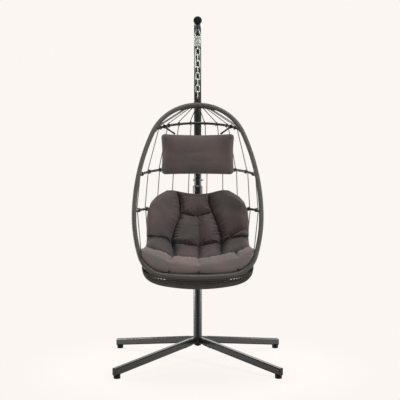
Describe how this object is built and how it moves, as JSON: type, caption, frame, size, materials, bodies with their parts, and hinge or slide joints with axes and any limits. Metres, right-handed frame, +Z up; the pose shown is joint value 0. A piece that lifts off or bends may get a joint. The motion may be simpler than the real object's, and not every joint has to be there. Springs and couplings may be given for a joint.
{
  "type": "hanging egg chair",
  "caption": "Hanging egg chair: a leaning roped basket with a tufted seat cushion and a head pillow, hung by a spring and a chain from a curved arm on a steel stand with crossed legs.",
  "frame": {"origin": "on the floor, under the middle of the chair's bounding box", "axes": "+Z up; -Y the open side that the sitter faces, so the post stands to the rear at +Y; +X to the right seen from the front"},
  "size_m": [1.024, 1.0601, 1.944],
  "materials": {
    "powder_coat": "satin",
    "basket_steel": "satin",
    "black_plastic": "matte",
    "zinc": "satin",
    "wicker": "matte",
    "rope": "matte",
    "cushion_cloth": "matte"
  },
  "bodies": {
    "stand": {"base_hub": "powder_coat", "post_bottom_plug": "black_plastic", "front_leg_left": "powder_coat", "front_leg_right": "powder_coat", "rear_leg_left": "powder_coat", "rear_leg_right": "powder_coat", "leg_end_plugs": "black_plastic", "front_foot_left": "black_plastic", "front_foot_right": "black_plastic", "rear_foot_left": "black_plastic", "rear_foot_right": "black_plastic", "leg_bolts": "zinc", "lower_post": "powder_coat", "post_collar": "powder_coat", "post_spigot": "powder_coat", "lock_bolt": "zinc", "lock_nut": "zinc", "upper_arm": "powder_coat", "arm_end_cap": "black_plastic", "hanging_eye": "powder_coat"},
    "hanger": {"upper_drawbar": "zinc", "coil_spring": "zinc"},
    "spring_end": {"lower_drawbar": "zinc"},
    "chain_top": {"chain_top_links": "zinc"},
    "chain_middle": {"chain_middle_links": "zinc"},
    "chain_bottom": {"chain_bottom_links": "zinc"},
    "basket": {"basket_eye": "basket_steel", "hoop_tube": "basket_steel", "hoop_wicker": "wicker", "ring_1": "basket_steel", "ring_2": "basket_steel", "ring_3": "basket_steel", "ring_4": "basket_steel", "base_ring": "basket_steel", "back_ropes": "rope", "seat_strands": "rope", "seat_cushion": "cushion_cloth", "head_pillow": "cushion_cloth", "pillow_ties": "cushion_cloth"}
  },
  "joints": [
    {"name": "swing_fore_aft", "type": "hinge", "parent": "stand", "child": "hanger", "pos_m": [0, -0.2324, 1.8798], "axis": [1, 0, 0], "range_deg": [-18, 3]},
    {"name": "spring_bounce", "type": "slide", "parent": "hanger", "child": "spring_end", "axis": [0, 0, 1], "range_m": [-0.014, 0], "stiffness_N_per_m": 77000, "springref_m": 0.0026, "deforming": ["coil_spring"]},
    {"name": "swing_sideways", "type": "hinge", "parent": "spring_end", "child": "chain_top", "pos_m": [0, -0.2324, 1.775], "axis": [0, 1, 0], "range_deg": [-8, 8]},
    {"name": "chain_twist", "type": "hinge", "parent": "chain_top", "child": "chain_middle", "pos_m": [0, -0.2324, 1.7], "axis": [0, 0, 1], "range_deg": [-22.5, 22.5]},
    {"name": "basket_twist", "type": "hinge", "parent": "chain_middle", "child": "chain_bottom", "pos_m": [0, -0.2324, 1.61], "axis": [0, 0, 1], "range_deg": [-22.5, 22.5]},
    {"name": "basket_tilt", "type": "hinge", "parent": "chain_bottom", "child": "basket", "pos_m": [0, -0.2324, 1.5178], "axis": [1, 0, 0], "range_deg": [-10, 1.5]}
  ]
}
